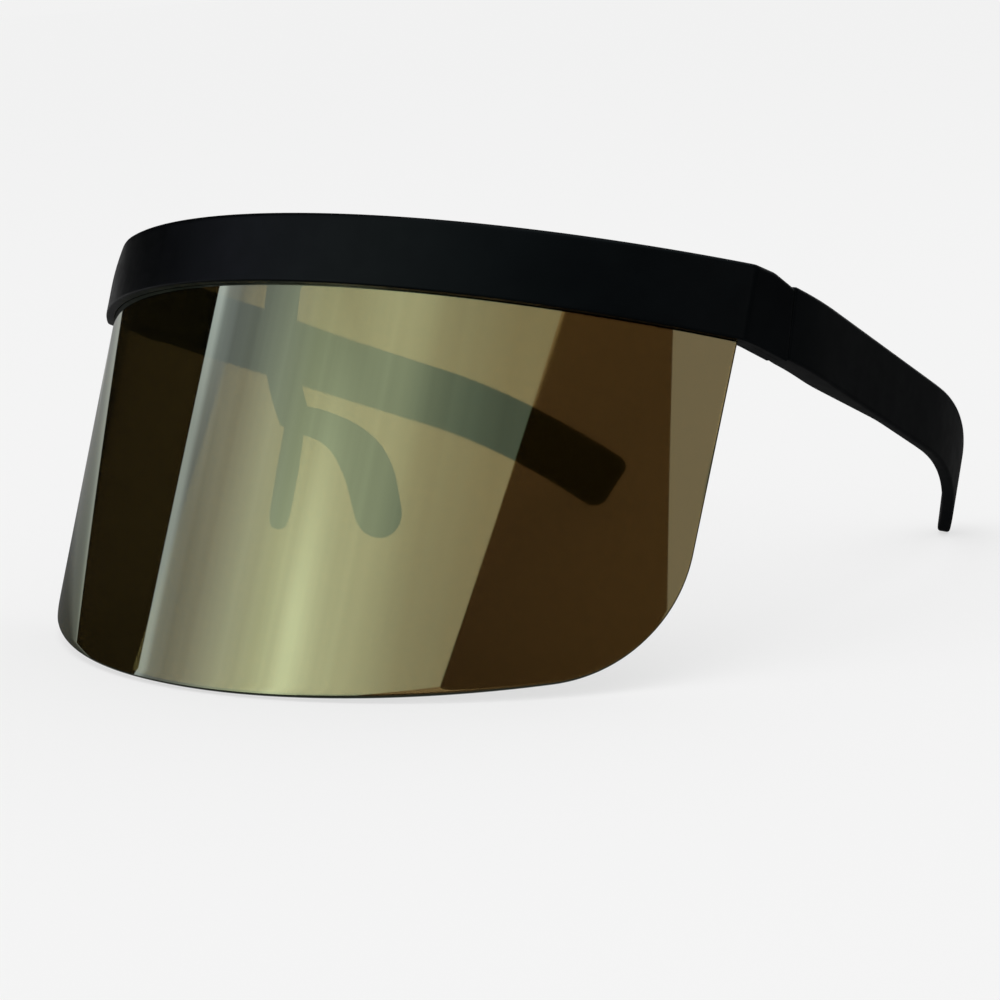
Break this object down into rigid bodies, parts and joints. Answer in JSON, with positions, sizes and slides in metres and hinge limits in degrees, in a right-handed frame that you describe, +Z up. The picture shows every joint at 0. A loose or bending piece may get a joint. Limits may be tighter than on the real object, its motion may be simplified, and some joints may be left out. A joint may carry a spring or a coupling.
{
  "type": "shield sunglasses",
  "caption": "Wrap-round shield sunglasses: a deep curved tinted lens hung from a straight brow bar, a forked nose piece behind it and folding temples with bent tips.",
  "frame": {"origin": "middle of the bounding box, on the plane that the lens's lower edge and both temple tips stand on", "axes": "+X to the wearer's left, +Y from the lens back towards the temple tips, +Z up off the plane; the front faces -Y"},
  "size_m": [0.156, 0.166, 0.0774],
  "materials": {
    "frame_plastic": "fine satin, moulded black",
    "lens_tint": "brown tint with a gold mirror coat",
    "nose_plastic": "smooth black, low gloss",
    "leaf_steel": "satin",
    "screw_steel": "polished"
  },
  "bodies": {
    "front": {"brow_bar": "frame_plastic", "shield_lens": "lens_tint", "lens_screws": "screw_steel", "nose_piece": "nose_plastic", "nose_screws": "screw_steel", "front_leaf_left": "leaf_steel", "front_leaf_right": "leaf_steel", "front_leaf_screws_left": "screw_steel", "front_leaf_screws_right": "screw_steel", "hinge_screw_left": "screw_steel", "hinge_screw_right": "screw_steel"},
    "left_temple": {"temple_left": "frame_plastic", "temple_leaf_left": "leaf_steel", "temple_leaf_screws_left": "screw_steel"},
    "right_temple": {"temple_right": "frame_plastic", "temple_leaf_right": "leaf_steel", "temple_leaf_screws_right": "screw_steel"}
  },
  "joints": [
    {"name": "left_fold", "type": "hinge", "parent": "front", "child": "left_temple", "pos_m": [0.0716, -0.0146, 0.05444], "axis": [0, 0.376, 0.9266], "range_deg": [0, 84]},
    {"name": "right_fold", "type": "hinge", "parent": "front", "child": "right_temple", "pos_m": [-0.0716, -0.0146, 0.05444], "axis": [0, -0.376, -0.9266], "range_deg": [0, 68]}
  ]
}
